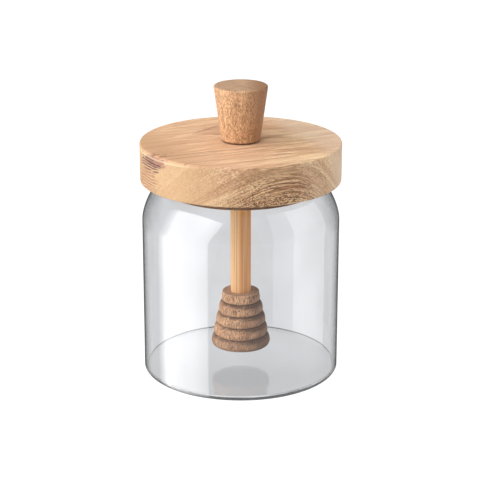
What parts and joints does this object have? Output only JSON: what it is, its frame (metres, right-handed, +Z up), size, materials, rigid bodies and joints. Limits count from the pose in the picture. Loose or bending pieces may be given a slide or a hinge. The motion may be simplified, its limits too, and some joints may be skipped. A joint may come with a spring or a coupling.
{
  "type": "glass honey jar",
  "caption": "Round clear glass jar with a thick turned wooden lid, a tapered wooden knob and a ringed honey dipper that hangs from the lid inside it.",
  "frame": {"origin": "middle of the jar's flat foot, on the surface that it stands on", "axes": "+Z up along the axis of the jar; the jar, lid and dipper are round about it; the picture looks along +Y"},
  "size_m": [0.1, 0.1, 0.1465],
  "materials": {
    "glass": "clear, thin and polished",
    "lid_wood": "pale acacia, sanded and oiled, satin, with brown streaks",
    "knob_wood": "reddish hardwood with short open pores, satin",
    "stem_bamboo": "pale bamboo dowel with fine lengthwise fibres, satin",
    "head_wood": "brown hardwood with open pores and dark grooves, matt"
  },
  "bodies": {
    "root": {"glass_jar": "glass", "lid": "lid_wood", "knob": "knob_wood", "dipper_stem": "stem_bamboo", "dipper_head": "head_wood"}
  },
  "joints": []
}
